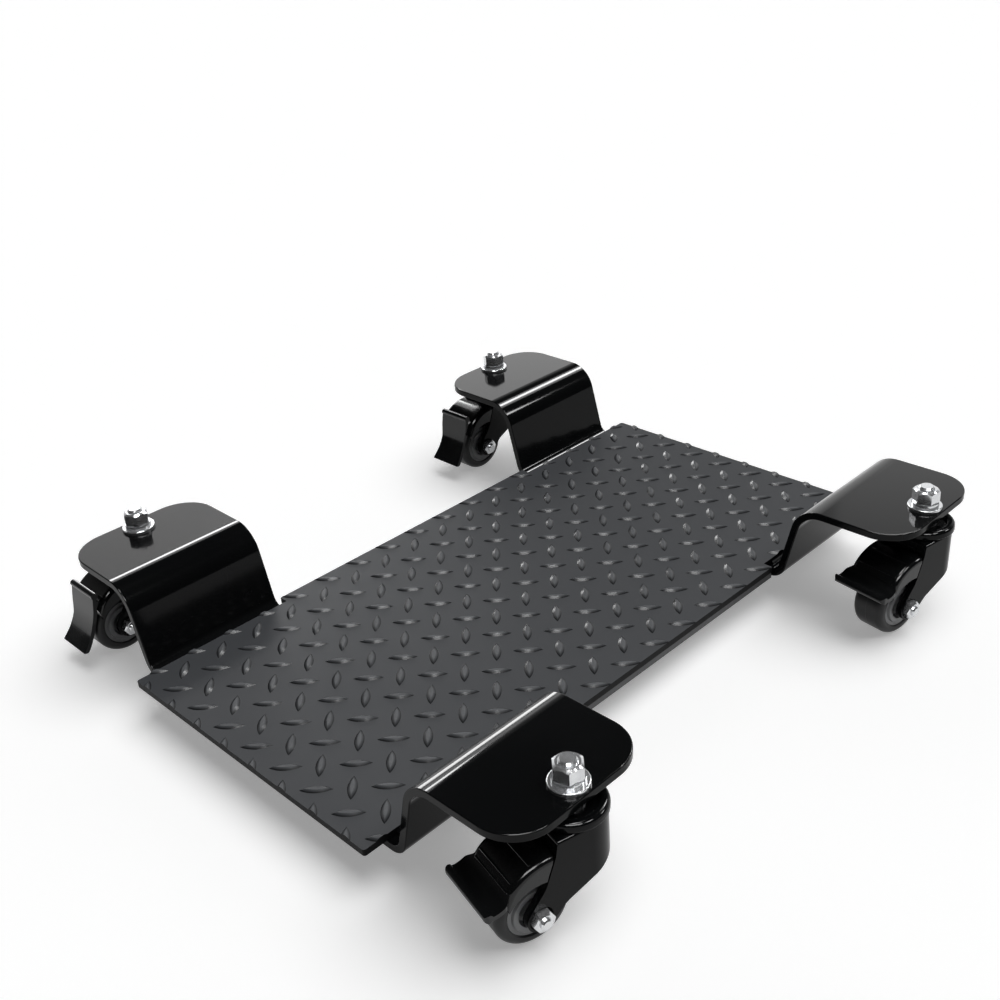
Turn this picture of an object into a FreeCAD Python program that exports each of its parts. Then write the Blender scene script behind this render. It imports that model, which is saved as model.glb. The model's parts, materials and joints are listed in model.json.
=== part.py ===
import FreeCAD, Part
import math
import os

from FreeCAD import Vector

# Deck plate, millimetres, floor at height zero
deck_length = 564.0
deck_width = 282.0
deck_thickness = 5.0
deck_top = 32.0
end_inset = 8.0
notch_gap = 3.0
deck_corner_radius = 2.0

# Raised tread bars on the deck
bar_pitch = 23.6
bar_length = 23.0
bar_width = 7.0
bar_height = 1.4
bar_crest_length = 14.0
bar_crest_width = 2.4
bar_root = 0.5
bar_least_share = 0.15

# Z brackets of bent plate
bracket_length = 118.0
bracket_end_margin = 18.0
plate_thickness = 6.0
flange_rise = 61.0
web_gap = 11.5
web_lean = 14.0
top_bend_radius = 20.0
low_bend_radius = 9.0
lower_flange_width = 50.0
flange_overhang = 14.5
flange_corner_radius = 30.0
lower_corner_radius = 8.0
plate_edge_round = 0.8

# Side bars under the long edges
side_bar_width = 38.0
side_bar_inset = 1.0
side_bar_end_gap = 2.0

# Weld beads
weld_leg = 2.6
weld_length = 26.0
weld_pitch = 38.0
weld_count = 3
weld_fullness = 0.58

# Caster places and the way each one trails in the photograph, degrees
stem_from_web = 90.5
trail_rear_left = 180.0
trail_front_left = 180.0
trail_rear_right = 166.0
trail_front_right = 171.0

# Stem and its fasteners
stem_diameter = 12.0
stem_hole_clearance = 0.6
stem_chamfer = 1.2
stem_stick_out = 2.2
collar_diameter = 20.0
collar_height = 7.5
king_pin_diameter = 10.0
king_head_diameter = 17.0
king_head_height = 3.0
king_head_chamfer = 1.0
washer_diameter = 26.0
washer_thickness = 2.5
washer_clearance = 0.5
washer_edge_round = 0.6
spring_washer_diameter = 20.5
spring_washer_thickness = 3.0
spring_washer_clearance = 0.2
split_width = 0.9
split_lean = 28.0
nut_across_flats = 18.0
nut_height = 10.5
thread_clearance = 0.02

# Race cap and bearing ring
cap_diameter = 47.0
cap_ring_height = 6.4
cap_ring_width = 5.4
cap_floor = 2.0
cap_lift = 0.4
cap_slope = 2.0
cap_edge_round = 0.9
bearing_gap = 0.3
bearing_width = 4.0
bearing_radius = 15.0
bearing_edge_round = 0.5

# Fork: a round head, then arms with a back, a belly, a lobe at the axle, a brow and a lip
trail = 36.0
fork_width = 42.0
fork_inside = 31.0
crown_diameter = 45.0
crown_drop = 11.4
crown_thickness = 8.0
crown_edge_round = 2.0
back_drop = 29.0
back_round = 14.0
belly_reach = 18.0
belly_rise = 3.0
belly_round = 16.0
brow_reach = 4.5
brow_rise = 20.5
brow_round = 22.0
lip_reach = 1.6
lip_drop = 9.5
lip_round = 5.0
axle_boss_radius = 9.5
axle_recess_wall = 1.5
axle_recess_depth = 3.0
pin_clearance = 0.06
press_clearance = 0.02

# Wheel
wheel_diameter = 51.0
tyre_width = 27.0
tyre_shoulder = 5.0
tyre_seat_chamfer = 1.0
rim_diameter = 36.0
hub_ring_diameter = 31.0
hub_ring_rise = 0.7
hub_ring_draft = 0.8
hub_recess_diameter = 21.0
hub_recess_depth = 4.5
hub_boss_wall = 2.0
hub_boss_draft = 0.3
hub_boss_play = 0.6
hub_edge_round = 0.5
hub_floor_round = 0.8
bush_diameter = 12.0
axle_diameter = 8.0
axle_nut_flats = 13.0
axle_nut_height = 7.5
axle_head_height = 4.0
axle_stick_out = 2.0
axle_chamfer = 0.9
side_play = 0.3

# Brake pedals
pedal_pin_diameter = 4.0
pedal_pin_reach = 20.0
pedal_pin_drop = 14.8
pedal_tongue_radius = 4.2
pedal_tongue_play = 0.8
pedal_cheek_gap = 1.2
hood_thickness = 2.4
hood_edge_round = 4.0
hood_rib_radius = 0.9
hood_rib_inset = 4.0
skirt_radius = 26.0
skirt_from = 38
skirt_to = 110
skirt_step = 12
pedal_tip_width = 47.0
pedal_tip_round = 3.0
pedal_reach = 73.5
pedal_bead_radius = 2.8
pedal_bead_drop = 12.8
pedal_bead_root = 1.9
panel_width = 34.0
panel_top = 62.0
panel_bottom = 17.5
panel_reach = 77.0
panel_lean = 18.0
panel_thickness = 3.2

# Brake leaf
leaf_thickness = 1.0
leaf_gap = 1.4
leaf_width = 18.0
leaf_stand = 10.5
leaf_heel_rise = 3.0
leaf_from = 131
leaf_to = 71
leaf_step = 6

# Sizes that follow from the ones above
deck_under = deck_top - deck_thickness
flange_top = deck_top + flange_rise
flange_under = flange_top - plate_thickness
end_half_width = deck_width / 2 - end_inset
web_base = end_half_width + web_gap
bracket_centre = deck_length / 2 - bracket_end_margin - bracket_length / 2
stem_side = web_base + stem_from_web
flange_edge = stem_side + flange_overhang
wheel_radius = wheel_diameter / 2
axle_height = wheel_radius
axle_seat = fork_width / 2 - axle_recess_depth
crown_top = flange_under - crown_drop
crown_under = crown_top - crown_thickness
cap_top = flange_under - collar_height
cap_bottom = crown_top + cap_lift
king_head_top = crown_under - bearing_gap
pedal_pin_height = crown_top - pedal_pin_drop
pedal_bead_height = pedal_pin_height - pedal_bead_drop
fork_half = fork_width / 2
cheek_inner = fork_inside / 2
same_place = 0.01


# Helpers for outlines and turned shapes
def rounded_wire(corners, place):
    count = len(corners)
    edges = []
    ends = []
    for i in range(count):
        u, v, radius = corners[i]
        here = Vector(u, v, 0)
        before = Vector(corners[i - 1][0], corners[i - 1][1], 0)
        after = Vector(corners[(i + 1) % count][0], corners[(i + 1) % count][1], 0)
        if radius <= 0:
            ends.append((here, here, None))
            continue
        a = (before - here).normalize()
        b = (after - here).normalize()
        half = a.getAngle(b) / 2
        reach = radius / math.tan(half)
        middle = (a + b).normalize()
        centre = here + middle * (radius / math.sin(half))
        ends.append((here + a * reach, here + b * reach, centre - middle * radius))
    for i in range(count):
        start, stop, top = ends[i]
        if top is not None:
            edges.append(Part.Arc(place(start), place(top), place(stop)).toShape())
        following = ends[(i + 1) % count][0]
        if stop.distanceToPoint(following) > 1e-6:
            edges.append(Part.LineSegment(place(stop), place(following)).toShape())
    return Part.Wire(Part.__sortEdges__(edges))


def on_plan(p):
    return Vector(p.x, p.y, 0)


def on_side(p):
    return Vector(p.x, 0, p.y)


def on_end(p):
    return Vector(0, p.x, p.y)


def on_axle(p):
    return Vector(trail, p.y, axle_height + p.x)


def plan_prism(corners, low, high):
    face = Part.Face(rounded_wire(corners, on_plan))
    face.translate(Vector(0, 0, low))
    return face.extrude(Vector(0, 0, high - low))


def across_width(face, half_width):
    face = face.copy()
    face.translate(Vector(0, -half_width, 0))
    return face.extrude(Vector(0, 2 * half_width, 0))


def side_prism(corners, half_width):
    return across_width(Part.Face(rounded_wire(corners, on_side)), half_width)


def turned_upright(profile):
    corners = [(p[0], p[1], p[2] if len(p) > 2 else 0) for p in profile]
    face = Part.Face(rounded_wire(corners, on_side))
    return face.revolve(Vector(0, 0, 0), Vector(0, 0, 1), 360)


def turned_on_axle(corners):
    face = Part.Face(rounded_wire(corners, on_axle))
    return face.revolve(Vector(trail, 0, axle_height), Vector(0, 1, 0), 360)


def upright_rod(radius, low, high):
    return Part.makeCylinder(radius, high - low, Vector(0, 0, low))


def rod_across(radius, reach, height, half_width):
    return Part.makeCylinder(radius, 2 * half_width, Vector(reach, -half_width, height), Vector(0, 1, 0))


def around_wheel(radius, degrees):
    a = math.radians(degrees)
    return (trail + radius * math.cos(a), axle_height + radius * math.sin(a), 0)


def round_rim(shape, height):
    return [e for e in shape.Edges if len(e.Vertexes) == 1 and abs(e.CenterOfMass.z - height) < same_place]


def hexagon(flats, low, high, bore_radius):
    corner = flats / math.sqrt(3)
    seat = flats / 2 * 0.97
    crest = flats / 2 * 0.86
    points = []
    for i in range(6):
        a = math.radians(60 * i)
        points.append(Vector(corner * math.cos(a), corner * math.sin(a), low))
    nut = Part.Face(Part.makePolygon(points + points[:1])).extrude(Vector(0, 0, high - low))
    rise = (corner - seat) * math.tan(math.radians(30))
    drop = (corner - crest) * math.tan(math.radians(34))
    blank = turned_upright([(0, low), (seat, low), (corner, low + rise), (corner, high - drop), (crest, high),
                            (0, high)])
    nut = nut.common(blank)
    if bore_radius > 0:
        nut = nut.cut(upright_rod(bore_radius, low - 1, high + 1))
    return nut


def across_axle(shape):
    shape = shape.copy()
    shape.rotate(Vector(0, 0, 0), Vector(1, 0, 0), -90)
    shape.translate(Vector(trail, 0, axle_height))
    return shape


# Deck plate with its raised bars
def deck_outline():
    half = deck_length / 2
    wide = deck_width / 2
    step = bracket_centre - bracket_length / 2 - notch_gap
    quarter = [(half, end_half_width, deck_corner_radius), (step, end_half_width, 0), (step, wide, 0)]
    mirrored = [(-x, y, r) for x, y, r in reversed(quarter)]
    upper = quarter + mirrored
    lower = [(-x, -y, r) for x, y, r in upper]
    return upper + lower


def lens(length, width, height):
    left = Vector(-length / 2, 0, height)
    right = Vector(length / 2, 0, height)
    bow = Vector(0, width / 2, height)
    keel = Vector(0, -width / 2, height)
    return Part.Wire([Part.Arc(left, bow, right).toShape(), Part.Arc(right, keel, left).toShape()])


def tread_bar(x, y, turn):
    grow = 1 + bar_root / bar_height * (1 - bar_crest_length / bar_length)
    grow_wide = 1 + bar_root / bar_height * (1 - bar_crest_width / bar_width)
    base = lens(bar_length * grow, bar_width * grow_wide, deck_top - bar_root)
    crest = lens(bar_crest_length, bar_crest_width, deck_top + bar_height)
    bar = Part.makeLoft([base, crest], True, True)
    bar.rotate(Vector(0, 0, 0), Vector(0, 0, 1), turn)
    bar.translate(Vector(x, y, 0))
    return bar


def deck_plate():
    plate = plan_prism(deck_outline(), deck_under, deck_top)
    limit = plan_prism(deck_outline(), deck_under, deck_top + 2 * bar_height)
    diagonal = bar_pitch / math.sqrt(2)
    columns = int(deck_length / diagonal / 2) + 1
    rows = int(deck_width / diagonal / 2) + 1
    bars = []
    for i in range(-columns, columns + 1):
        for j in range(-rows, rows + 1):
            if (i + j) % 2:
                continue
            bar = tread_bar(i * diagonal, j * diagonal, 45 if i % 2 else -45)
            inside = bar.common(limit)
            if inside.Volume < bar_least_share * bar.Volume:
                continue
            bars.append(bar if inside.Volume > 0.999 * bar.Volume else inside)
    return plate.multiFuse(bars).removeSplitter()


# Z bracket on the left side, centred on its own length
def corner_edges(blank, side):
    found = []
    for edge in blank.Edges:
        upright = abs(edge.Vertexes[0].Z - edge.Vertexes[-1].Z) > 1
        if upright and abs(edge.CenterOfMass.y - side) < same_place:
            found.append(edge)
    return found


def outline_edges(blank, sides):
    found = []
    for edge in blank.Edges:
        box = edge.BoundBox
        bend_line = box.YLength < same_place and box.ZLength < same_place
        for side in sides:
            if abs(box.YMin - side) < same_place:
                bend_line = False
        if edge.Length > plate_thickness + 0.5 and not bend_line:
            found.append(edge)
    return found


def bracket_blank():
    lean = math.tan(math.radians(web_lean))
    across = plate_thickness / math.cos(math.radians(web_lean))
    low_in = web_base - deck_thickness * lean
    high_in = web_base + flange_rise * lean
    low_out = web_base + across - (deck_thickness + plate_thickness) * lean
    high_out = web_base + across + (flange_rise - plate_thickness) * lean
    inner_edge = low_in - lower_flange_width
    corners = [(inner_edge, deck_under, 0), (low_in, deck_under, low_bend_radius),
               (high_in, flange_top, top_bend_radius + plate_thickness), (flange_edge, flange_top, 0),
               (flange_edge, flange_under, 0), (high_out, flange_under, top_bend_radius),
               (low_out, deck_under - plate_thickness, low_bend_radius + plate_thickness),
               (inner_edge, deck_under - plate_thickness, 0)]
    face = Part.Face(rounded_wire(corners, on_end))
    blank = face.extrude(Vector(bracket_length, 0, 0))
    blank.translate(Vector(-bracket_length / 2, 0, 0))
    blank = blank.makeFillet(flange_corner_radius, corner_edges(blank, flange_edge))
    blank = blank.makeFillet(lower_corner_radius, corner_edges(blank, inner_edge))
    blank = blank.makeFillet(plate_edge_round, outline_edges(blank, (flange_edge, inner_edge)))
    hole = upright_rod(stem_diameter / 2 + stem_hole_clearance / 2, flange_under - 1, flange_top + 1)
    hole.translate(Vector(0, stem_side, 0))
    return blank.cut(hole)


def to_corner(shape, end, side):
    placed = shape.copy()
    if side < 0:
        placed.rotate(Vector(0, 0, 0), Vector(0, 0, 1), 180)
    placed.translate(Vector(end * bracket_centre, 0, 0))
    return placed


def side_bar(side):
    reach = bracket_centre - bracket_length / 2 - side_bar_end_gap
    outer = side * (deck_width / 2 - side_bar_inset)
    inner = outer - side * side_bar_width
    corners = [(-reach, inner, 0), (reach, inner, 0), (reach, outer, 0), (-reach, outer, 0)]
    return plan_prism(corners, deck_under - plate_thickness, deck_under)


def weld_bead(middle):
    a = Vector(0, end_half_width, deck_under)
    b = a + Vector(0, 0, weld_leg)
    c = a + Vector(0, weld_leg, 0)
    bulge = a + Vector(0, weld_leg * weld_fullness, weld_leg * weld_fullness)
    crown = Part.Arc(b, bulge, c).toShape()
    outline = [Part.LineSegment(a, b).toShape(), crown, Part.LineSegment(c, a).toShape()]
    bead = Part.Face(Part.Wire(outline)).extrude(Vector(weld_length, 0, 0))
    bead.translate(Vector(middle - weld_length / 2, 0, 0))
    return bead


def weld_row():
    return [weld_bead((i - (weld_count - 1) / 2) * weld_pitch) for i in range(weld_count)]


# Stem, its fasteners and the fixed half of the swivel head
def caster_stem():
    top = flange_top + washer_thickness + spring_washer_thickness + nut_height + stem_stick_out
    r = stem_diameter / 2
    collar = collar_diameter / 2
    king = king_pin_diameter / 2
    head = king_head_diameter / 2
    head_low = king_head_top - king_head_height
    return turned_upright([(0, head_low), (head - king_head_chamfer, head_low),
                           (head, head_low + king_head_chamfer), (head, king_head_top), (king, king_head_top),
                           (king, cap_top), (collar, cap_top), (collar, flange_under), (r, flange_under),
                           (r, top - stem_chamfer), (r - stem_chamfer, top), (0, top)])


def flat_washer():
    high = flange_top + washer_thickness
    ring = upright_rod(washer_diameter / 2, flange_top, high)
    ring = ring.makeFillet(washer_edge_round, round_rim(ring, high))
    return ring.cut(upright_rod(stem_diameter / 2 + washer_clearance, flange_top - 1, high + 1))


def spring_washer():
    low = flange_top + washer_thickness
    high = low + spring_washer_thickness
    outer = spring_washer_diameter / 2
    ring = upright_rod(outer, low, high)
    ring = ring.cut(upright_rod(stem_diameter / 2 + spring_washer_clearance, low - 1, high + 1))
    corner = Vector(-outer, -split_width / 2, low - spring_washer_thickness)
    split = Part.makeBox(outer, split_width, 3 * spring_washer_thickness, corner)
    split.rotate(Vector(0, 0, (low + high) / 2), Vector(1, 0, 0), split_lean)
    return ring.cut(split)


def stem_nut():
    low = flange_top + washer_thickness + spring_washer_thickness
    return hexagon(nut_across_flats, low, low + nut_height, stem_diameter / 2 + thread_clearance)


def race_cap():
    out = cap_diameter / 2
    inside = out - cap_ring_width
    king = king_pin_diameter / 2 + thread_clearance
    ring_top = cap_bottom + cap_ring_height
    under = cap_top - cap_floor
    return turned_upright([(king, cap_top), (inside - cap_slope, cap_top, 0.75 * cap_slope),
                           (inside, ring_top, 0.3 * cap_ring_width), (out, ring_top, 0.52 * cap_ring_width),
                           (out, cap_bottom, cap_edge_round), (inside, cap_bottom, 0.7 * cap_edge_round),
                           (inside - 0.3 * cap_slope, under, 0.2 * cap_slope), (king, under)])


def bearing_ring():
    low = crown_top + bearing_gap
    high = cap_top - cap_floor
    near = bearing_radius - bearing_width / 2
    far = bearing_radius + bearing_width / 2
    return turned_upright([(near, low, bearing_edge_round), (far, low, bearing_edge_round), (far, high),
                           (near, high)])


# Fork with round head and two arms that sweep down to the axle
def arm_outline(shift):
    r = crown_diameter / 2
    low = around_wheel(axle_boss_radius, 235)
    high = around_wheel(axle_boss_radius, 38)
    corners = [(-r, crown_top, 0), (-r, crown_top - back_drop, back_round),
               (trail - belly_reach, axle_height + belly_rise, belly_round), low, (trail, axle_height, 0),
               high, (trail - brow_reach, axle_height + brow_rise, brow_round),
               (r + lip_reach, crown_top - lip_drop, lip_round), (r, crown_top, 0)]
    return [(x + shift, z, radius) for x, z, radius in corners]


def open_stadium(back, half_width, round_back):
    front = trail + wheel_radius
    return [(back, -half_width, round_back), (front, -half_width, 0), (front, half_width, 0),
            (back, half_width, round_back)]


def fork():
    body = side_prism(arm_outline(0), 2 * fork_half)
    body = body.fuse(rod_across(axle_boss_radius, trail, axle_height, 2 * fork_half)).removeSplitter()
    outside = open_stadium(-crown_diameter / 2, fork_half, 0.985 * fork_half)
    body = body.common(plan_prism(outside, 0, crown_top))
    rim = [e for e in body.Edges if e.BoundBox.ZMin > crown_top - same_place]
    body = body.makeFillet(crown_edge_round, rim)
    inside = open_stadium(-cheek_inner + 1, cheek_inner, 0.9 * cheek_inner)
    body = body.cut(plan_prism(inside, 0, crown_under))
    body = body.cut(upright_rod(king_pin_diameter / 2 + pin_clearance, crown_under - 1, crown_top + 1))
    for way in (-1, 1):
        pocket = rod_across(axle_boss_radius - axle_recess_wall, trail, axle_height, axle_recess_depth)
        pocket.translate(Vector(0, way * fork_half, 0))
        body = body.cut(pocket)
    body = body.cut(rod_across(axle_diameter / 2 + press_clearance, trail, axle_height, fork_width))
    pin = rod_across(pedal_pin_diameter / 2 + press_clearance, pedal_pin_reach, pedal_pin_height, fork_width)
    return body.cut(pin).removeSplitter()


def axle_bolt():
    end = axle_seat + axle_nut_height + axle_stick_out
    shaft = upright_rod(axle_diameter / 2, -axle_seat, end)
    shaft = shaft.makeChamfer(axle_chamfer, round_rim(shaft, end))
    head = hexagon(axle_nut_flats, -axle_seat - axle_head_height, -axle_seat, 0)
    return across_axle(shaft.fuse(head).removeSplitter())


def axle_nut():
    bore = axle_diameter / 2 + thread_clearance
    return across_axle(hexagon(axle_nut_flats, axle_seat, axle_seat + axle_nut_height, bore))


def pedal_pin():
    return rod_across(pedal_pin_diameter / 2, pedal_pin_reach, pedal_pin_height, fork_half)


def brake_leaf():
    low = wheel_radius + leaf_gap
    high = low + leaf_thickness
    heel = around_wheel(low, leaf_from)
    under = [around_wheel(low, a) for a in range(leaf_from, leaf_to - 1, -leaf_step)]
    over = [around_wheel(high, a) for a in range(leaf_to, leaf_from + 1, leaf_step)]
    tab = [(leaf_stand + leaf_thickness, crown_under, 0), (leaf_stand, crown_under, 0),
           (leaf_stand, heel[1] + leaf_heel_rise, 0)]
    return side_prism(under + over + tab, leaf_width / 2)


# Wheel made of tyre, hub and bush
def tyre():
    half = tyre_width / 2
    rim = rim_diameter / 2
    seat = rim + tyre_seat_chamfer
    return turned_on_axle([(rim, tyre_seat_chamfer - half, 0), (seat, -half, 0),
                           (wheel_radius, -half, tyre_shoulder), (wheel_radius, half, tyre_shoulder),
                           (seat, half, 0), (rim, half - tyre_seat_chamfer, 0)])


def hub():
    half = tyre_width / 2
    seat = half - tyre_seat_chamfer
    face = half + hub_ring_rise
    rim = rim_diameter / 2
    ring = hub_ring_diameter / 2
    hollow = hub_recess_diameter / 2
    inner = bush_diameter / 2
    boss = inner + hub_boss_wall
    end = cheek_inner - side_play - hub_boss_play
    floor = half - hub_recess_depth
    right = [(rim, seat, 0), (ring, seat, 0), (ring - hub_ring_draft, face, hub_edge_round),
             (hollow + hub_ring_draft, face, hub_edge_round), (hollow, floor, hub_floor_round),
             (boss, floor, hub_floor_round), (boss - hub_boss_draft, end, 0), (inner, end, 0)]
    left = [(r, -y, rounding) for r, y, rounding in reversed(right)]
    return turned_on_axle(right + left)


def axle_bush():
    inner = axle_diameter / 2 + pin_clearance
    outer = bush_diameter / 2
    end = cheek_inner - side_play
    return turned_on_axle([(inner, -end, 0), (outer, -end, 0), (outer, end, 0), (inner, end, 0)])


# Brake pedals, one kind with a rolled lip and one with an upright toe panel
def from_pin(points):
    return [Vector(pedal_pin_reach + x, 0, pedal_pin_height + z) for x, z in points]


def closed_face(*rows):
    edges = []
    for i in range(len(rows)):
        row = rows[i]
        if len(row) > 2:
            curve = Part.BSplineCurve()
            curve.interpolate(row)
            edges.append(curve.toShape())
        else:
            edges.append(Part.LineSegment(row[0], row[1]).toShape())
        following = rows[(i + 1) % len(rows)][0]
        if row[-1].distanceToPoint(following) > 1e-6:
            edges.append(Part.LineSegment(row[-1], following).toShape())
    return Part.Face(Part.Wire(edges))


def pedal_hood():
    top = from_pin([(0, 4.9), (7, 5.9), (14, 5.6), (21, 4.0), (27, 1.2), (32, -2.4), (35.5, -6.6)])
    room = from_pin([(5, 0.0), (11, 0.2), (17, -0.4), (23, -2.2), (28.5, -5.4), (32.5, -9.6), (36.0, -15.0)])
    brow = top[-1] + Vector(hood_thickness, 0, -2 * hood_thickness)
    angles = range(skirt_from, skirt_to + 1, skirt_step)
    skirt = [on_side(Vector(*around_wheel(skirt_radius, a))) for a in angles]
    heel = Vector(pedal_pin_reach, 0, skirt[-1].z)
    body = across_width(closed_face(top, [brow, skirt[0]], skirt, [heel, top[0]]), fork_half)
    shoulders = []
    for edge in body.Edges:
        box = edge.BoundBox
        along = box.YLength < same_place and box.XLength > trail / 2
        if along and box.ZMax > pedal_pin_height + pedal_tongue_radius:
            shoulders.append(edge)
    body = body.makeFillet(hood_edge_round, shoulders)
    floor = [Vector(pedal_reach, 0, 0), Vector(0, 0, 0)]
    step_height = pedal_pin_height - pedal_tongue_radius
    step = [Vector(0, 0, step_height), Vector(room[0].x, 0, step_height)]
    return body.cut(across_width(closed_face(room, floor, step), fork_half - hood_thickness))


def pedal_finish(body):
    tongue = cheek_inner - pedal_tongue_play
    body = body.fuse(rod_across(pedal_tongue_radius, pedal_pin_reach, pedal_pin_height, tongue))
    for way in (-1, 1):
        arm = side_prism(arm_outline(pedal_cheek_gap), fork_half / 2)
        arm.translate(Vector(0, way * (tongue + fork_half / 2), 0))
        body = body.cut(arm)
    bore = rod_across(pedal_pin_diameter / 2 + pin_clearance, pedal_pin_reach, pedal_pin_height, fork_width)
    return body.cut(bore).removeSplitter()


def lip_pedal():
    wide = pedal_tip_width / 2
    bead = pedal_reach - pedal_bead_radius
    nose = bead - pedal_pin_reach
    tip_high = pedal_bead_root - pedal_bead_drop
    tip_low = -pedal_bead_root - pedal_bead_drop
    top = from_pin([(32.0, -3.2), (35.5, -6.9), (39.0, -9.6), (43.0, -11.4), (47.0, -12.0), (nose, tip_high)])
    under = from_pin([(nose, tip_low), (46.6, -15.0), (42.2, -14.3), (38.0, -12.4), (34.6, -9.8),
                      (31.8, -6.6)])
    pan = across_width(closed_face(top, under), wide)
    pan = pan.fuse(rod_across(pedal_bead_radius, bead, pedal_bead_height, wide))
    neck = fork_half - 2.0
    flare = bead - 12.0
    plan = [(trail, neck, 0), (flare - 4.0, neck, 3.0), (flare, wide, 4.0),
            (pedal_reach, wide, pedal_tip_round)]
    plan = plan + [(x, -y, r) for x, y, r in reversed(plan)]
    body = pedal_hood().fuse(pan.common(plan_prism(plan, 0, crown_top)))
    for spot in from_pin([(19.5, 4.1), (31.8, -2.6), (35.3, -6.8)]):
        body = body.fuse(rod_across(hood_rib_radius, spot.x, spot.z, fork_half - hood_rib_inset))
    return pedal_finish(body)


def toe_panel():
    wide = panel_width / 2
    height = panel_top - panel_bottom
    outer = []
    for drop, share in ((0.0, 1.0), (0.27, 0.87), (0.54, 0.71), (0.76, 0.45), (1.0, 0.0)):
        outer.append((panel_reach - share * panel_lean, panel_top - drop * height))
    inner = [(x - panel_thickness, z - 0.3 * panel_thickness) for x, z in reversed(outer)]
    rows = [[Vector(x, 0, z) for x, z in row] for row in (outer, inner)]
    panel = across_width(closed_face(rows[0], rows[1]), 1.1 * wide)
    roll = panel_reach - panel_lean - panel_thickness / 2
    panel = panel.fuse(rod_across(pedal_bead_radius, roll, panel_top, 1.1 * wide))
    waist = 1.8
    front = [(wide, panel_top + 2 * pedal_bead_radius, 0), (wide, panel_top - 0.3 * height, 8),
             (wide - waist, panel_top - 0.55 * height, 8), (wide - 0.6 * waist, panel_top - 0.78 * height, 6),
             (wide + 0.4 * waist, panel_bottom - 2, 2.5)]
    front = front + [(-y, z, r) for y, z, r in reversed(front)]
    outline = Part.Face(rounded_wire(front, on_end)).extrude(Vector(2 * panel_reach, 0, 0))
    return panel.common(outline)


def panel_pedal():
    neck = panel_reach - 0.9 * panel_lean - panel_thickness - pedal_pin_reach
    top = from_pin([(24.0, 1.8), (29.0, -1.0), (34.0, -3.4), (neck, -4.4)])
    under = from_pin([(neck, -8.6), (34.0, -7.6), (29.0, -5.4), (25.0, -2.8)])
    arm = across_width(closed_face(top, under), panel_width / 2)
    return pedal_finish(pedal_hood().fuse(arm).fuse(toe_panel()))


# All pieces at their places
def at_stem(shape, angle, spot):
    placed = shape.copy()
    placed.rotate(Vector(0, 0, 0), Vector(0, 0, 1), angle)
    placed.translate(spot)
    return placed


def save(shape, name):
    shape.exportStep("parts/" + name + ".step")


def main():
    os.makedirs("parts", exist_ok=True)
    save(deck_plate(), "deck_plate")
    places = (("rear_left", -1, 1, trail_rear_left), ("front_left", 1, 1, trail_front_left),
              ("rear_right", -1, -1, trail_rear_right), ("front_right", 1, -1, trail_front_right))
    bracket = bracket_blank()
    beads = weld_row()
    welds = []
    fixed = {"caster_stems": caster_stem(), "stem_nuts": stem_nut(), "spring_washers": spring_washer(),
             "flat_washers": flat_washer(), "race_caps": race_cap(), "swivel_bearing_rings": bearing_ring()}
    moving = {"fork": fork(), "axle_bolt": axle_bolt(), "axle_nut": axle_nut(), "pedal_pin": pedal_pin(),
              "brake_leaf": brake_leaf(), "tyre": tyre(), "wheel_hub": hub(), "axle_bush": axle_bush()}
    pedals = {1: panel_pedal(), -1: lip_pedal()}
    groups = {name: [] for name in fixed}
    for name, end, side, angle in places:
        save(to_corner(bracket, end, side), "bracket_" + name)
        for bead in beads:
            welds.append(to_corner(bead, end, side))
        spot = Vector(end * bracket_centre, side * stem_side, 0)
        for kind, shape in fixed.items():
            groups[kind].append(at_stem(shape, angle, spot))
        for kind, shape in moving.items():
            save(at_stem(shape, angle, spot), kind + "_" + name)
        save(at_stem(pedals[side], angle, spot), "brake_pedal_" + name)
    for name, row in groups.items():
        save(Part.makeCompound(row), name)
    save(Part.makeCompound(welds), "weld_beads")
    save(side_bar(1), "side_bar_left")
    save(side_bar(-1), "side_bar_right")


main()
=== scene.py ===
import bpy
import json
import math
from mathutils import Matrix, Vector


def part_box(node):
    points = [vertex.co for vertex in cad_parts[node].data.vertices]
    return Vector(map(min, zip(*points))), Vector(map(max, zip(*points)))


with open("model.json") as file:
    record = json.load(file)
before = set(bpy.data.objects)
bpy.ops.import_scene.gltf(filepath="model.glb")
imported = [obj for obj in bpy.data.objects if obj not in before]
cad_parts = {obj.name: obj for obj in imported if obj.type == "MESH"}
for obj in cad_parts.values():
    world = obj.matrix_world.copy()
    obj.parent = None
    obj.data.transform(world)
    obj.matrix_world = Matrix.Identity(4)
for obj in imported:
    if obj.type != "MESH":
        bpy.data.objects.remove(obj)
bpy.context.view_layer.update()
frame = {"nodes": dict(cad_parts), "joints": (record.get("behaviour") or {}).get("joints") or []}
print("frame loaded, nodes:", len(frame["nodes"]))

corners = ("rear_left", "front_left", "rear_right", "front_right")


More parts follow.
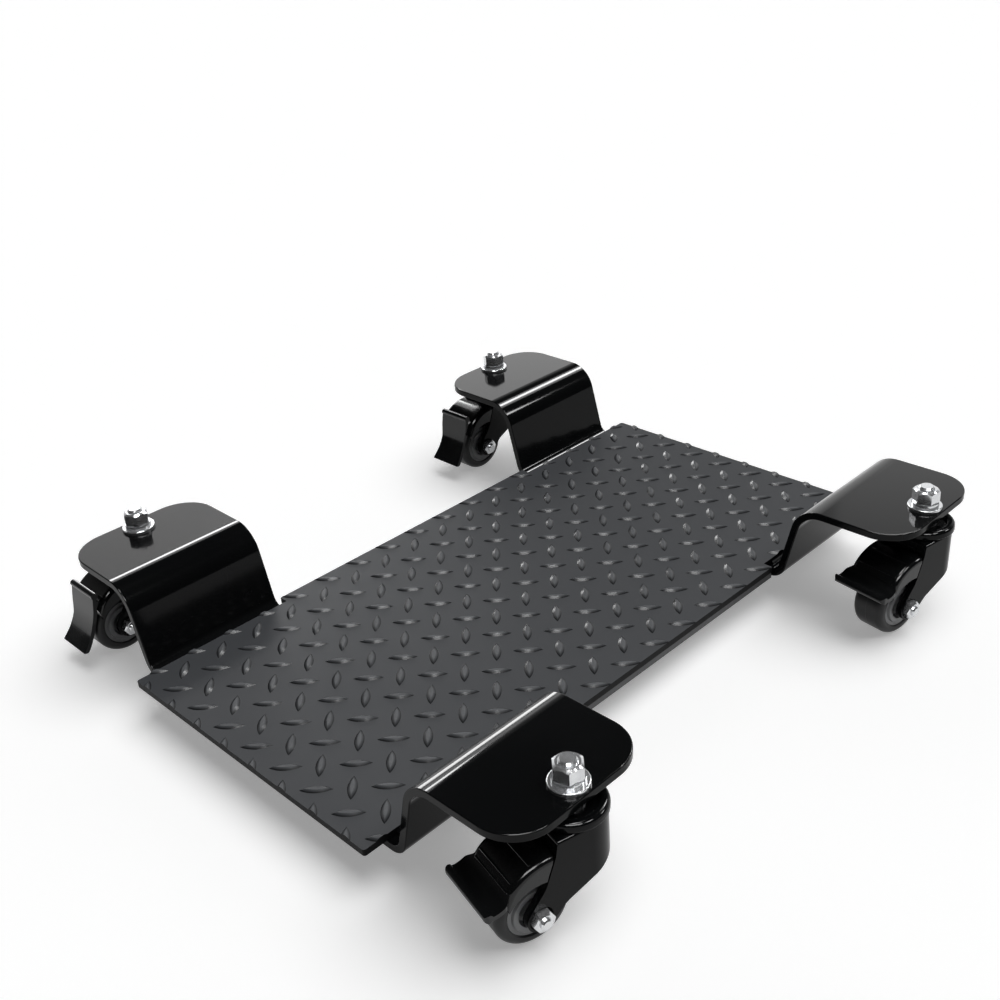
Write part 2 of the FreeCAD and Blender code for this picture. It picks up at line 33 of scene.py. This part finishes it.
class Wire:  # one output socket, so shader maths reads as plain expressions
    def __init__(self, tree, socket=None):
        self.tree = tree
        self.socket = socket

    def put(self, target, value):
        if isinstance(value, Wire):
            self.tree.links.new(value.socket, target)
        elif isinstance(value, (tuple, list)) and len(value) == 3 and target.type == "RGBA":
            target.default_value = (*value, 1.0)
        else:
            target.default_value = value

    def node(self, kind, settings=None, sockets=None, out=0):
        made = self.tree.nodes.new(kind)
        for name, value in (settings or {}).items():
            setattr(made, name, value)
        for name, value in (sockets or {}).items():
            self.put(made.inputs[name], value)
        return Wire(self.tree, made.outputs[out]) if made.outputs else None

    def outlet(self, name):  # another output of the same node
        return Wire(self.tree, self.socket.node.outputs[name])

    def maths(self, operation, first, second=0.0):
        return self.node("ShaderNodeMath", {"operation": operation}, {0: first, 1: second})

    def __add__(self, other):
        return self.maths("ADD", self, other)

    def __sub__(self, other):
        return self.maths("SUBTRACT", self, other)

    def __mul__(self, other):
        return self.maths("MULTIPLY", self, other)

    def __radd__(self, other):
        return self.maths("ADD", other, self)

    def __rsub__(self, other):
        return self.maths("SUBTRACT", other, self)

    def __rmul__(self, other):
        return self.maths("MULTIPLY", other, self)

    def __abs__(self):
        return self.maths("ABSOLUTE", self)

    def step(self, low, high):  # 0 below low, 1 above high, smooth between
        return self.node("ShaderNodeMapRange", {"interpolation_type": "SMOOTHSTEP"},
                         {"Value": self, "From Min": low, "From Max": high})

    def blend(self, first, second):  # colours, by this mask
        return self.node("ShaderNodeMix", {"data_type": "RGBA"}, {0: self, 6: first, 7: second}, 2)


def newFinish(name):
    finish = bpy.data.materials.new(name)
    finish.use_nodes = True
    finish.node_tree.nodes.clear()
    wire = Wire(finish.node_tree)
    place = wire.node("ShaderNodeTexCoord", out="Object")
    return finish, wire, place


def dress(wire, sockets):
    surface = wire.node("ShaderNodeBsdfPrincipled", None, sockets)
    wire.node("ShaderNodeOutputMaterial", None, {"Surface": surface})


def noise(wire, place, scale, detail, falloff=0.55):
    return wire.node("ShaderNodeTexNoise", {"noise_dimensions": "3D"},
                     {"Vector": place, "Scale": scale, "Detail": detail, "Roughness": falloff}, "Fac")


def bump(wire, height, strength, distance, under=None):
    sockets = {"Height": height, "Strength": strength, "Distance": distance}
    if under is not None:
        sockets["Normal"] = under
    return wire.node("ShaderNodeBump", None, sockets, "Normal")


def axes(wire, vector):
    split = wire.node("ShaderNodeSeparateXYZ", None, {"Vector": vector})
    return [split.outlet(name) for name in "XYZ"]


def upness(wire):  # 1 on level faces, 0 on upright ones
    return abs(axes(wire, wire.node("ShaderNodeNewGeometry", out="True Normal"))[2])


# Deck plate: dark grey satin coat with painted shade darkening its upright edges, bars worn lighter on
# their crests with a painted highlight, and painted shade at their feet
deckLook = {"name": "deckSatinGrey", "barHeight": 0.0014,
            "coat": (0.060, 0.0627, 0.0675), "worn": (0.050, 0.053, 0.058),
            # the lighter crest colour is wear together with a painted highlight on the ridges
            "wearAndHighlight": (0.14, 0.145, 0.152), "footShade": (0.012, 0.0125, 0.0135),
            # painted shade: this colour darkens the plate's upright faces to near black
            "edge": (0.004, 0.004, 0.0045),
            "crestSpan": (0.6, 1.0), "footShadeSpan": (0.1, 0.7), "wearHighlightLeast": 0.35,
            "edgeUpness": (0.2, 0.5), "slopeUpness": (0.93, 0.99),
            "cloud": (14.0, 4.0), "wornSpan": (0.35, 0.75), "wornShare": 0.35, "speck": (420.0, 2.0),
            "roughness": 0.47, "spread": 0.10, "slopePolish": 0.20, "slopeCoat": 0.22,
            "grain": (900.0, 2.0), "bump": (0.18, 0.0002),
            "sockets": {"Specular IOR Level": 0.07, "Coat Roughness": 0.18}}


def deckFinish():
    look = deckLook
    finish, wire, place = newFinish(look["name"])
    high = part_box("deck_plate")[1][2]
    plateTop = high - look["barHeight"]
    rise = (axes(wire, place)[2] - plateTop) * (1.0 / look["barHeight"])  # 0 on the plate, 1 on a crest
    up = upness(wire)
    cloud = noise(wire, place, *look["cloud"])
    speck = noise(wire, place, *look["speck"])
    # painted shade on the upright faces of the plate
    edge = 1.0 - up.step(*look["edgeUpness"])
    slope = (1.0 - up.step(*look["slopeUpness"])) * (1.0 - edge)
    # crests lighter: speckled wear plus a painted highlight along each ridge
    wearAndHighlight = rise.step(*look["crestSpan"]) * (look["wearHighlightLeast"] + (1.0 - look["wearHighlightLeast"]) * speck)
    # painted shade in the crease at the foot of each bar
    footShade = slope * (1.0 - rise.step(*look["footShadeSpan"]))
    base = wearAndHighlight.blend(look["coat"], look["wearAndHighlight"])
    base = (cloud.step(*look["wornSpan"]) * look["wornShare"]).blend(base, look["worn"])
    base = edge.blend(base, look["edge"])
    base = footShade.blend(base, look["footShade"])
    rough = look["roughness"] + look["spread"] * (cloud - 0.5) - look["slopePolish"] * slope
    grain = noise(wire, place, *look["grain"])
    dress(wire, {"Base Color": base, "Roughness": rough, "Coat Weight": look["slopeCoat"] * slope,
                 "Normal": bump(wire, grain, *look["bump"]), **look["sockets"]})
    return finish


# Gloss black coat of brackets, forks and caps, with a trace of orange peel, thinner on upright faces
glossLook = {"name": "glossBlackCoat",
             "colour": (0.0028, 0.0031, 0.0034), "smeared": (0.004, 0.0044, 0.0048),
             "smear": (9.0, 3.0), "toneSpan": (0.3, 0.8),
             "roughness": 0.12, "spread": 0.05, "roughSpan": (0.45, 0.8),
             "shine": 0.56, "uprightShare": 0.32, "uprightUpness": (0.25, 0.55),
             "peel": (190.0, 1.0), "bump": (0.10, 0.00005),
             "sockets": {"Specular IOR Level": 0.03, "Coat Roughness": 0.08}}


def glossFinish():
    look = glossLook
    finish, wire, place = newFinish(look["name"])
    peel = noise(wire, place, *look["peel"])
    smear = noise(wire, place, *look["smear"])
    tone = smear.step(*look["toneSpan"]).blend(look["colour"], look["smeared"])
    rough = look["roughness"] + look["spread"] * smear.step(*look["roughSpan"])
    level = upness(wire).step(*look["uprightUpness"])
    shine = look["shine"] * (look["uprightShare"] + (1.0 - look["uprightShare"]) * level)
    dress(wire, {"Base Color": tone, "Roughness": rough, "Coat Weight": shine,
                 "Normal": bump(wire, peel, *look["bump"]), **look["sockets"]})
    return finish


# Tyres: satin black tread with a mould line round the middle
tyreLook = {"name": "tyreSatinBlack_",
            "colour": (0.006, 0.0063, 0.0068), "scuffed": (0.012, 0.0123, 0.013),
            "scuff": (45.0, 4.0), "toneSpan": (0.45, 0.75),
            "roughness": 0.32, "spread": 0.18, "roughSpan": (0.4, 0.8),
            "seamSpan": (0.0001, 0.0004), "seamBump": (0.5, 0.0002),
            "grain": (800.0, 3.0), "bump": (0.12, 0.0001), "sockets": {"Specular IOR Level": 0.3}}


def tyreFinish(corner):
    look = tyreLook
    finish, wire, place = newFinish(look["name"] + corner)
    low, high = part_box("axle_bush_" + corner)
    middle = (Vector(low) + Vector(high)) / 2
    joint = [j for j in frame["joints"] if j["name"] == "wheel_roll_" + corner][0]
    axle = Vector(joint["axis"])
    away = wire.node("ShaderNodeVectorMath", {"operation": "SUBTRACT"}, {0: place, 1: tuple(middle)})
    along = wire.node("ShaderNodeVectorMath", {"operation": "DOT_PRODUCT"},
                      {0: away, 1: tuple(axle)}, "Value")
    seam = 1.0 - abs(along).step(*look["seamSpan"])
    grain = noise(wire, place, *look["grain"])
    scuff = noise(wire, place, *look["scuff"])
    tone = scuff.step(*look["toneSpan"]).blend(look["colour"], look["scuffed"])
    rough = look["roughness"] + look["spread"] * scuff.step(*look["roughSpan"])
    normal = bump(wire, grain, *look["bump"])
    normal = bump(wire, seam, *look["seamBump"], normal)
    dress(wire, {"Base Color": tone, "Roughness": rough, "Normal": normal, **look["sockets"]})
    return finish


# Pedals: gloss black moulding with a faint moulded grain
pedalLook = {"name": "pedalGlossMoulding",
             "colour": (0.004, 0.0044, 0.0048), "dull": (0.009, 0.0095, 0.010),
             "cloud": (26.0, 3.0), "toneSpan": (0.3, 0.8),
             "roughness": 0.13, "spread": 0.10, "roughSpan": (0.4, 0.8),
             "grain": (700.0, 2.0), "bump": (0.06, 0.0001),
             "sockets": {"Specular IOR Level": 0.22, "Coat Weight": 0.2, "Coat Roughness": 0.06}}

# Side bars under the long edges: the deck's coat, darkened as painted shade under the deck's edge
barShadeLook = {"name": "sideBarShadedGrey",
           "colour": (0.030, 0.0315, 0.0345), "dull": (0.024, 0.0252, 0.0276),
           "cloud": (30.0, 4.0), "toneSpan": (0.35, 0.75),
           "roughness": 0.37, "spread": 0.10, "roughSpan": None,
           "grain": (900.0, 2.0), "bump": (0.15, 0.0002), "sockets": {}}

# Bright zinc of nuts, washers, bolts and stems
zincLook = {"name": "brightZinc", "colour": (0.72, 0.73, 0.74), "dull": (0.60, 0.61, 0.63),
            "cloud": (70.0, 3.0), "toneSpan": (0.4, 0.75),
            "roughness": 0.14, "spread": 0.07, "roughSpan": (0.35, 0.8),
            "grain": (1500.0, 2.0), "bump": (0.04, 0.00003), "sockets": {"Metallic": 0.82}}

# Hubs: grey moulding
hubLook = {"name": "hubGreyMoulding", "colour": (0.18, 0.184, 0.188), "dull": (0.14, 0.143, 0.147),
           "cloud": (60.0, 4.0), "toneSpan": (0.35, 0.8),
           "roughness": 0.30, "spread": 0.12, "roughSpan": (0.4, 0.8),
           "grain": (1500.0, 2.0), "bump": (0.10, 0.0001), "sockets": {}}

# Plain steel of bushes, brake leaves and bearing rings
steelLook = {"name": "turnedSteel", "colour": (0.46, 0.46, 0.47), "dull": (0.33, 0.33, 0.34),
             "cloud": (120.0, 4.0), "toneSpan": (0.35, 0.8),
             "roughness": 0.30, "spread": 0.15, "roughSpan": (0.4, 0.8),
             "grain": (3000.0, 2.0), "bump": (0.10, 0.00005), "sockets": {"Metallic": 1.0}}


def cloudyFinish(look):
    finish, wire, place = newFinish(look["name"])
    cloud = noise(wire, place, *look["cloud"])
    grain = noise(wire, place, *look["grain"])
    tone = cloud.step(*look["toneSpan"]).blend(look["colour"], look["dull"])
    patch = cloud.step(*look["roughSpan"]) if look["roughSpan"] else cloud
    rough = look["roughness"] + look["spread"] * patch
    dress(wire, {"Base Color": tone, "Roughness": rough,
                 "Normal": bump(wire, grain, *look["bump"]), **look["sockets"]})
    return finish


glossBlack = glossFinish()
pedalBlack, barShadedGrey, zinc = [cloudyFinish(look) for look in (pedalLook, barShadeLook, zincLook)]
hubGrey, steel = [cloudyFinish(look) for look in (hubLook, steelLook)]
finishes = {"deck_plate": deckFinish(), "side_bar_left": barShadedGrey, "side_bar_right": barShadedGrey,
            "weld_beads": glossBlack, "caster_stems": zinc, "stem_nuts": zinc, "spring_washers": zinc,
            "flat_washers": zinc, "race_caps": glossBlack, "swivel_bearing_rings": steel}
cornerFinishes = {"bracket": glossBlack, "fork": glossBlack, "axle_bolt": zinc, "axle_nut": zinc,
                  "pedal_pin": glossBlack, "brake_leaf": steel, "wheel_hub": hubGrey, "axle_bush": steel,
                  "brake_pedal": pedalBlack}
for corner in corners:
    finishes["tyre_" + corner] = tyreFinish(corner)
    for kind, finish in cornerFinishes.items():
        finishes[kind + "_" + corner] = finish
for node, finish in finishes.items():
    for slot in frame["nodes"][node].material_slots:
        slot.material = finish
print("finishes on", len(finishes), "nodes")


# Floor: pale paint, lifted to white where it is seen
floorLook = {"tone": 0.93, "cloudTone": 0.92535, "cloud": (1.5, 2.0), "half": 40.0, "lift": 0.30,
             "roughness": 0.9}


def makeFloor():
    look = floorLook
    half = look["half"]
    mesh = bpy.data.meshes.new("paleFloor")
    rim = [(-half, -half, 0), (half, -half, 0), (half, half, 0), (-half, half, 0)]
    mesh.from_pydata(rim, [], [(0, 1, 2, 3)])
    floor = bpy.data.objects.new("paleFloor", mesh)
    bpy.context.scene.collection.objects.link(floor)
    finish, wire, place = newFinish("paleFloorPaint")
    cloud = noise(wire, place, *look["cloud"])
    tone = cloud.blend((look["tone"],) * 3, (look["cloudTone"],) * 3)
    rays = wire.node("ShaderNodeLightPath")
    seen = rays.outlet("Is Camera Ray") + rays.outlet("Is Glossy Ray") + rays.outlet("Is Transmission Ray")
    lift = seen * look["lift"]
    dress(wire, {"Base Color": tone, "Roughness": look["roughness"], "Specular IOR Level": 0.0,
                 "Emission Color": lift, "Emission Strength": 1.0})
    mesh.materials.append(finish)


# Light: a wide soft key, a pale wall on the far side, and softboxes that only reflections show
lightLook = {"wallWay": (0.68, 0.73), "wallSpan": (0.1, 0.9), "wallTop": (0.36, 0.62), "wall": 1.0,
             "ceiling": 0.03, "sun": 2.2, "sunAngle": 60.0, "sunFrom": (0.30, -0.20, 0.93)}
softboxes = {"farPanel": {"place": (1.75, 2.6, 1.5), "face": (0, -1, 0),
                          "size": (2.9, 0.6), "radiance": 0.9},
             "farLow": {"place": (1.5, 2.6, 0.53), "face": (0, -1, 0),
                        "size": (1.2, 0.62), "radiance": 8.0},
             "leftStrip": {"place": (1.35, 3.0, 2.3), "face": (0, -1, 0),
                           "size": (1.2, 0.5), "radiance": 20.0},
             "leftFade": {"place": (1.35, 3.0, 3.1), "face": (0, -1, 0),
                          "size": (1.2, 1.1), "radiance": 2.5},
             "overStrip": {"place": (1.8, 0.42, 1.9), "face": (0, 0, -1),
                           "size": (0.9, 0.30), "radiance": 24.0},
             "overFade": {"place": (1.8, 0.40, 1.92), "face": (0, 0, -1),
                          "size": (1.2, 0.85), "radiance": 4.0},
             "deckGlint": {"place": (-0.1, -0.1, 2.2), "face": (0, 0, -1),
                           "size": (0.8, 0.55), "radiance": 17.0},
             "sideNear": {"place": (0.2, -1.6, 2.0), "face": (-0.2, 0.6, -0.77),
                          "size": (0.6, 0.4), "radiance": 18.0},
             "sideFar": {"place": (2.0, -1.6, 2.0), "face": (-0.6, 0.5, -0.62),
                         "size": (0.6, 0.4), "radiance": 18.0},
             "rightPanel": {"place": (2.19, 0.70, 1.29), "face": (-0.79, -0.37, -0.48),
                            "size": (0.45, 0.5), "radiance": 0.35},
             "nearGlow": {"place": (-1.0, -1.3, 2.1), "face": (0.35, 0.45, -0.82),
                          "size": (1.4, 0.9), "radiance": 12.0}}


def makeWorld():
    look = lightLook
    world = bpy.data.worlds.new("studio")
    bpy.context.scene.world = world
    world.use_nodes = True
    world.node_tree.nodes.clear()
    wire = Wire(world.node_tree)
    x, y, z = axes(wire, wire.node("ShaderNodeTexCoord", out="Generated"))
    away = x * look["wallWay"][0] + y * look["wallWay"][1]
    bright = away.step(*look["wallSpan"]) * (1.0 - z.step(*look["wallTop"]))
    rays = wire.node("ShaderNodeLightPath")
    seen = rays.outlet("Is Camera Ray") + rays.outlet("Is Transmission Ray")
    bright = bright + (1.0 - bright) * seen  # gloss shows the pale wall on the far side only
    shade = look["ceiling"] + bright * (look["wall"] - look["ceiling"])
    back = wire.node("ShaderNodeBackground", None, {"Color": shade, "Strength": 1.0})
    wire.node("ShaderNodeOutputWorld", None, {"Surface": back})


def addLamp(name, kind, facing):
    lamp = bpy.data.lights.new(name, kind)
    holder = bpy.data.objects.new(name, lamp)
    holder.rotation_euler = (-Vector(facing)).to_track_quat("Z", "Y").to_euler()
    bpy.context.scene.collection.objects.link(holder)
    return lamp, holder


def makeLamps():
    look = lightLook
    lamp, key = addLamp("softKey", "SUN", -Vector(look["sunFrom"]))
    lamp.energy = look["sun"]
    lamp.angle = math.radians(look["sunAngle"])
    key.visible_glossy = False  # highlights come from the softboxes
    for name, box in softboxes.items():
        lamp, glow = addLamp(name, "AREA", box["face"])
        lamp.shape = "RECTANGLE"
        lamp.size, lamp.size_y = box["size"]
        lamp.energy = box["radiance"] * math.pi * lamp.size * lamp.size_y
        glow.location = box["place"]
        glow.visible_diffuse = False
        glow.visible_camera = False


# Camera: the photo's angle
cameraLook = {"place": (-0.5943, -0.6098, 0.5717), "right": (0.7021, -0.7090, -0.0662),
              "up": (0.3804, 0.2949, 0.8766), "sensor": 36.0, "focalShare": 1.23292, "nearest": 0.01}


def makeCamera():
    look = cameraLook
    lens = bpy.data.cameras.new("photoView")
    lens.sensor_width = look["sensor"]
    lens.lens = look["focalShare"] * look["sensor"]
    lens.clip_start = look["nearest"]
    camera = bpy.data.objects.new("photoView", lens)
    right = Vector(look["right"]).normalized()
    up = Vector(look["up"])
    up = (up - right * up.dot(right)).normalized()
    back = right.cross(up)
    turn = Matrix((right, up, back)).transposed().to_4x4()
    camera.matrix_world = Matrix.Translation(look["place"]) @ turn
    bpy.context.scene.collection.objects.link(camera)
    bpy.context.scene.camera = camera


makeFloor()
makeWorld()
makeLamps()
makeCamera()
bpy.context.scene.view_settings.view_transform = "Standard"
print("stage ready")
